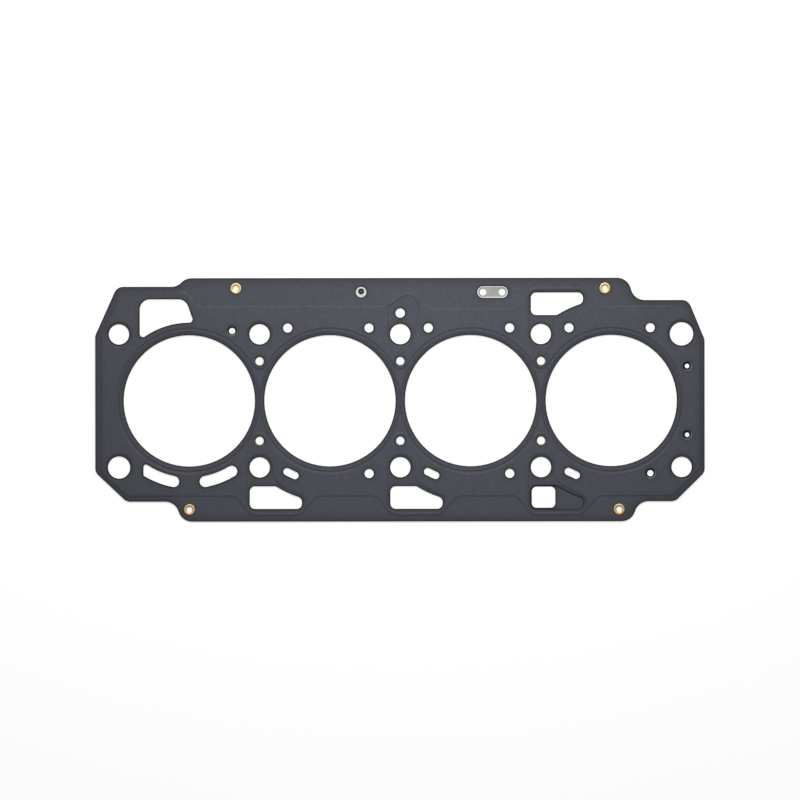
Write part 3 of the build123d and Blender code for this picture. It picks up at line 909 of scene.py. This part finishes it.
    def spots(self, walls: list[bmesh.types.BMFace]) -> kdtree.KDTree:
        """Points along the walls, in plan, for measuring distances to them."""
        places = []
        for edge in {edge for face in walls for edge in face.edges}:
            first, last = (corner.co for corner in edge.verts)
            parts = max(1, math.ceil((last - first).length / self.sample_pitch))
            places += [first.lerp(last, part / parts) for part in range(parts + 1)]
        tree = kdtree.KDTree(len(places))
        for index, place in enumerate(places):
            tree.insert((place.x, place.y, 0.0), index)
        tree.balance()
        return tree

    def mark(self, piece: bpy.types.Object) -> None:
        """Store how near each vertex is to a cut edge, and to the outline.

        Args:
            piece: The sheet, in edit mode.
        """
        shape = bmesh.from_edit_mesh(piece.data)
        walls = self.walls(shape)
        for name, faces, reach in (
            (NEARNESS, walls, REACH),
            (OUTLINE_NEARNESS, self.outline(walls), OUTLINE_REACH),
        ):
            layer = shape.verts.layers.float[name]
            tree = self.spots(faces)
            for corner in shape.verts:
                distance = tree.find((corner.co.x, corner.co.y, 0.0))[2]
                corner[layer] = max(0.0, 1.0 - distance / reach)
        layer = shape.verts.layers.float[CUT_EDGE]
        nearness = shape.verts.layers.float[NEARNESS]
        # Bands round the shallow walls of coined marks carry only a little of the painted shade.
        for corner in shape.verts:
            if corner[nearness] < 1.0 - 2 * self.band_width / REACH:
                corner[layer] *= self.coined_shade
        for face in walls:
            for corner in face.verts:
                corner[layer] = 1.0
        bmesh.update_edit_mesh(piece.data)

    def roll_rims(self, piece: bpy.types.Object) -> None:
        """Roll the rim of every cut edge over a little, and keep the bands in the node's box.

        Args:
            piece: The sheet, in edit mode.
        """
        low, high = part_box(self.node)
        shape = bmesh.from_edit_mesh(piece.data)
        for corner in shape.verts:
            corner.co.z = min(max(corner.co.z, low.z), high.z)
        rims = {corner for face in self.walls(shape) for corner in face.verts}
        for side in self.sides:
            for corner in rims:
                if any(face.normal.z * side.value > FLAT_ENOUGH for face in corner.link_faces):
                    corner.co.z -= side.value * self.rollover_drop
        bmesh.update_edit_mesh(piece.data)

    def lower_lips(self, piece: bpy.types.Object) -> None:
        """Let the pressed side fall towards the edge of each bore.

        Args:
            piece: The sheet, in edit mode.
        """
        shape = bmesh.from_edit_mesh(piece.data)
        shape.normal_update()
        side = self.pressed.value
        centres = [middle(ring) for ring in RINGS]
        for corner in shape.verts:
            radius = min(math.dist(corner.co.xy, centre) for centre in centres)
            if radius < LIP_RADIUS and corner.normal.z * side > self.lip_facing:
                share = (LIP_RADIUS - radius) / (LIP_RADIUS - self.bore_radius)
                corner.co.z -= side * self.lip_drop * share
        bmesh.update_edit_mesh(piece.data)


@dataclass
class HollowRivet:
    """A hollow brass rivet: a thin shank, clinched over into a curled flange at each end."""

    node: str
    facets: int = 72
    bore_radius: float = 1.8 * MM
    shank_radius: float = 2.2 * MM
    crown_radius: float = 2.75 * MM
    rim_radius: float = 3.5 * MM
    rim_thickness: float = 0.07 * MM
    crown_steps: int = 5
    curl: float = 0.6
    crease_angle: float = math.radians(35.0)
    merge_distance: float = 0.0001 * MM

    def half_profile(self, land: float, reach: float) -> list[tuple[float, float]]:
        """The section of one flange, from the bore over the crown and back to the shank.

        Args:
            land: Height of the sheet that the flange sits on.
            reach: Height of the crown above the land.

        Returns:
            The radius and height of each ring.
        """
        rings = []
        for step in range(self.crown_steps + 1):
            turn = math.pi / 2 * step / self.crown_steps
            radius = self.crown_radius - (self.crown_radius - self.bore_radius) * math.cos(turn)
            rings.append((radius, land + reach * (math.sin(turn) * (1.0 + self.curl) - self.curl)))
        for step in range(1, self.crown_steps + 1):
            turn = math.pi / 2 * step / self.crown_steps
            radius = self.crown_radius + (self.rim_radius - self.crown_radius) * math.sin(turn)
            rise = (reach - self.rim_thickness) * math.cos(turn)
            rings.append((radius, land + self.rim_thickness + rise))
        rings.append((self.rim_radius, land))
        rings.append((self.shank_radius, land))
        return rings

    def build(self, material: bpy.types.Material, lands: tuple[float, float]) -> bpy.types.Object:
        """Model the rivet and let it stand for its CAD node.

        Args:
            material: The rivet's finish.
            lands: Heights of the lower and the upper sheet surface that it clamps.

        Returns:
            The finished piece.
        """
        low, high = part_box(self.node)
        centre = (low + high) / 2
        upper = self.half_profile(lands[1], high.z - lands[1])
        lower = self.half_profile(0.0, lands[0] - low.z)
        rings = [(radius, lands[0] - height) for radius, height in lower][::-1] + upper
        bpy.ops.object.select_all(action="DESELECT")
        start = Vector((centre.x, centre.y, rings[0][1]))
        bpy.ops.mesh.primitive_circle_add(
            vertices=self.facets, radius=rings[0][0], fill_type="NOTHING", location=start
        )
        piece = bpy.context.active_object
        piece.name = f"hollow_{self.node}"
        piece.data.name = piece.name
        bpy.ops.object.mode_set(mode="EDIT")
        bpy.ops.mesh.select_all(action="SELECT")
        radius, height = rings[0]
        for next_radius, next_height in rings[1:] + rings[:1]:
            bpy.ops.mesh.extrude_edges_move(
                TRANSFORM_OT_translate={"value": (0.0, 0.0, next_height - height)}
            )
            grow = next_radius / radius
            bpy.ops.transform.resize(
                value=(grow, grow, 1.0), center_override=(centre.x, centre.y, next_height)
            )
            radius, height = next_radius, next_height
        bpy.ops.mesh.select_all(action="SELECT")
        bpy.ops.mesh.remove_doubles(threshold=self.merge_distance)
        bpy.ops.mesh.normals_make_consistent(inside=False)
        bpy.ops.object.mode_set(mode="OBJECT")
        bpy.ops.object.transform_apply(location=True, rotation=True, scale=True)
        bpy.ops.object.shade_smooth_by_angle(angle=self.crease_angle)
        dress(piece, material)
        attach(piece, BODY)
        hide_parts(self.node)
        return piece


@dataclass
class StopperRings:
    """The thin rings at the bores, which keep their CAD shape."""

    nodes: tuple[str, ...] = RINGS

    def build(self, frame: dict[str, object], material: bpy.types.Material) -> list[bpy.types.Object]:
        """Dress the rings.

        Args:
            material: The rings' finish.

        Returns:
            The rings.
        """
        rings = [frame["nodes"][name] for name in self.nodes]
        for ring in rings:
            dress(ring, material)
        return rings


@dataclass
class Studio:
    """The pale floor, the soft light and the camera straight above the gasket."""

    floor_size: float = 6.0
    floor_drop: float = 0.02 * MM
    floor_glow: float = 0.6
    floor_colour: float = 0.9
    world_strength: float = 0.42
    key_power: float = 12.6
    key_tilt: float = math.radians(28.0)
    key_distance: float = 1.1
    key_width: float = 0.75
    key_depth: float = 0.22
    camera_height: float = 3.0
    camera_x: float = -0.19 * MM
    camera_y: float = 0.42 * MM
    camera_roll: float = -0.00112
    view_width: float = 512.13 * MM
    sensor: float = 36.0

    def build(self) -> None:
        """Make the floor, the world, the key light and the camera."""
        self.make_floor()
        self.make_world()
        self.make_key()
        self.make_camera()

    def make_floor(self) -> None:
        """Lay a plain white floor under the gasket; it keeps a light shadow."""
        bpy.ops.object.select_all(action="DESELECT")
        bpy.ops.mesh.primitive_plane_add(size=self.floor_size, location=(0, 0, -self.floor_drop))
        floor = bpy.context.active_object
        floor.name = "studio_floor"
        made, board = blank_material("pale_floor")
        paint = board.add("ShaderNodeBsdfDiffuse")
        paint.inputs["Color"].default_value = (self.floor_colour,) * 3 + (1.0,)
        glow = board.add("ShaderNodeEmission")
        rays = board.add("ShaderNodeLightPath")
        seen = board.math("MAXIMUM", rays.outputs["Is Camera Ray"], rays.outputs["Is Glossy Ray"])
        seen = board.math("MAXIMUM", seen, rays.outputs["Is Transmission Ray"])
        share = board.remap(seen, 0.0, 1.0, 0.0, self.floor_glow)
        mix = board.add("ShaderNodeMixShader")
        board.join(share, mix.inputs["Fac"])
        board.join(paint.outputs["BSDF"], mix.inputs[1])
        board.join(glow.outputs["Emission"], mix.inputs[2])
        board.show(mix.outputs["Shader"])
        dress(floor, made)

    def make_world(self) -> None:
        """Fill the room with even white light."""
        world = bpy.data.worlds.new("studio")
        world.use_nodes = True
        board = NodeBoard(world.node_tree)
        sky = board.add("ShaderNodeBackground")
        sky.inputs["Strength"].default_value = self.world_strength
        sky.inputs["Color"].default_value = (1.0, 1.0, 1.0, 1.0)
        out = board.add("ShaderNodeOutputWorld")
        board.join(sky.outputs["Background"], out.inputs["Surface"])
        bpy.context.scene.world = world

    def make_key(self) -> None:
        """Hang a long softbox over the far edge, tilted to rake across the beads."""
        away = self.key_distance * math.sin(self.key_tilt)
        up = self.key_distance * math.cos(self.key_tilt)
        bpy.ops.object.light_add(type="AREA", location=(0.0, away, up))
        key = bpy.context.active_object
        key.name = "key_softbox"
        key.rotation_euler = (-self.key_tilt, 0.0, 0.0)
        key.data.shape = "RECTANGLE"
        key.data.size = self.key_width
        key.data.size_y = self.key_depth
        key.data.energy = self.key_power

    def make_camera(self) -> None:
        """Look straight down through a long lens, in the photograph's frame."""
        bpy.ops.object.camera_add(location=(self.camera_x, self.camera_y, self.camera_height))
        camera = bpy.context.active_object
        camera.name = "camera"
        camera.rotation_euler = (0.0, 0.0, self.camera_roll)
        camera.data.sensor_width = self.sensor
        camera.data.lens = self.sensor * self.camera_height / self.view_width
        camera.data.clip_end = 10 * self.camera_height
        bpy.context.scene.camera = camera


class Finishes:
    """The materials of the gasket, each made once."""

    def __init__(self) -> None:
        """Build every material."""
        rivets = tuple(middle(rivet) for rivet in RIVETS)
        bores = tuple(middle(ring) for ring in RINGS)
        self.coated = CoatedSteel(rivets=rivets, bores=bores).material()
        self.stopper = BareSteel("stopper_steel", tone(176, 176, 175), tone(164, 164, 163)).material()
        self.spacer = BareSteel("spacer_steel", tone(134, 134, 133), tone(122, 122, 121)).material()
        self.ring = BareSteel("ring_steel", tone(200, 200, 200), tone(188, 188, 188)).material()
        self.brass = DrawnBrass().material()


def main() -> None:
    """Build the gasket's looks and the studio."""
    logging.basicConfig(level=logging.INFO, format="%(message)s")
    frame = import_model()
    bpy.context.scene.view_settings.view_transform = "Standard"
    finishes = Finishes()
    upper = (Side.UP,)
    both = (Side.UP, Side.DOWN)
    coated = "coated_steel"
    sheets = [
        (StampedSheet("upper_bead_layer", "upper_coated_sheet", coated, upper, Side.UP), finishes.coated),
        (StampedSheet("stopper_layer", "stopper_sheet", "stopper_steel", upper), finishes.stopper),
        (StampedSheet("spacer_layer", "spacer_sheet", "spacer_steel", upper), finishes.spacer),
        (StampedSheet("lower_bead_layer", "lower_coated_sheet", coated, both, Side.DOWN), finishes.coated),
    ]
    for sheet, material in sheets:
        piece = sheet.build(frame, material)
        log.info("%s: %d faces", piece.name, len(piece.data.polygons))
    for ring in StopperRings().build(frame, finishes.ring):
        log.info("%s dressed", ring.name)
    lower_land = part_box("spacer_layer")[0].z - COATED_THICKNESS
    upper_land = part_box("upper_bead_layer")[0].z + COATED_THICKNESS
    for rivet in RIVETS:
        piece = HollowRivet(rivet).build(finishes.brass, (lower_land, upper_land))
        log.info("%s: %d faces", piece.name, len(piece.data.polygons))
    Studio().build()


if __name__ == "__main__":
    main()
